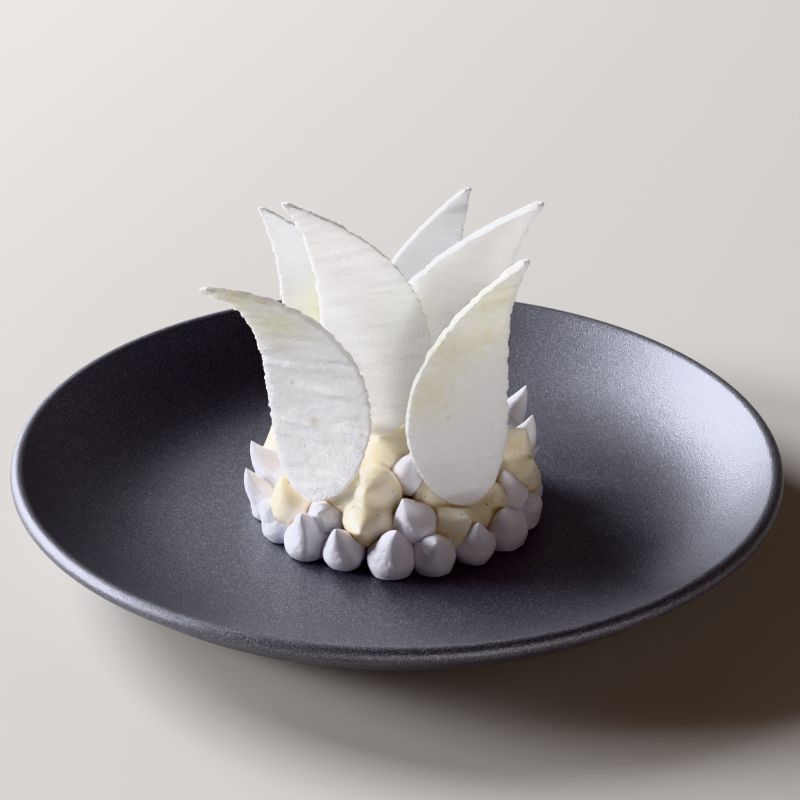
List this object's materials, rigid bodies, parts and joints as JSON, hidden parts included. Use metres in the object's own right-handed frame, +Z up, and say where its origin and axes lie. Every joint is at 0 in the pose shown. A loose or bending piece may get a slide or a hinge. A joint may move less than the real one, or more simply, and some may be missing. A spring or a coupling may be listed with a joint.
{
  "type": "pavlova on a plate",
  "caption": "Pavlova of piped meringue drops and cream dollops with tall curled meringue sails, served on a dark rimless coupe plate.",
  "frame": {"origin": "on the table, under the middle of the plate", "axes": "+Z up, front of the dessert towards -Y, +X to the right as seen from the front"},
  "size_m": [0.28, 0.28, 0.1421],
  "materials": {
    "glaze": "dark satin glaze with a fine pale speckle",
    "curd": "smooth moist orange-yellow curd",
    "meringue": "soft white piped meringue with a faint sheen",
    "cream": "ivory vanilla cream with tiny dark seeds",
    "sail_meringue": "dry baked meringue, matte and pitted, yellowish where sugar shows"
  },
  "bodies": {
    "root": {"plate": "glaze", "curd_core": "curd", "sail_front_left": "sail_meringue", "sail_front_right": "sail_meringue", "sail_middle_left": "sail_meringue", "sail_middle_right": "sail_meringue", "sail_back_left": "sail_meringue", "sail_back_right": "sail_meringue", "meringue_drop_01": "meringue", "meringue_drop_02": "meringue", "meringue_drop_03": "meringue", "meringue_drop_04": "meringue", "meringue_drop_05": "meringue", "meringue_drop_06": "meringue", "meringue_drop_07": "meringue", "meringue_drop_08": "meringue", "meringue_drop_09": "meringue", "meringue_drop_10": "meringue", "meringue_drop_11": "meringue", "meringue_drop_12": "meringue", "meringue_drop_13": "meringue", "meringue_drop_14": "meringue", "meringue_drop_15": "meringue", "meringue_drop_16": "meringue", "meringue_drop_17": "meringue", "meringue_drop_18": "meringue", "meringue_drop_19": "meringue", "meringue_drop_20": "meringue", "meringue_drop_21": "meringue", "meringue_drop_22": "meringue", "meringue_drop_23": "meringue", "meringue_drop_24": "meringue", "meringue_drop_25": "meringue", "meringue_drop_26": "meringue", "meringue_drop_27": "meringue", "meringue_drop_28": "meringue", "meringue_drop_29": "meringue", "meringue_drop_30": "meringue", "cream_dollop_01": "cream", "cream_dollop_02": "cream", "cream_dollop_03": "cream", "cream_dollop_04": "cream", "cream_dollop_05": "cream", "cream_dollop_06": "cream", "cream_dollop_07": "cream", "cream_dollop_08": "cream", "cream_dollop_09": "cream", "cream_dollop_10": "cream", "cream_dollop_11": "cream", "cream_dollop_12": "cream", "cream_dollop_13": "cream", "cream_dollop_14": "cream", "cream_dollop_15": "cream", "cream_dollop_16": "cream", "cream_dollop_17": "cream", "cream_dollop_18": "cream", "cream_dollop_19": "cream", "cream_dollop_20": "cream", "cream_dollop_21": "cream", "cream_dollop_22": "cream"}
  },
  "joints": []
}
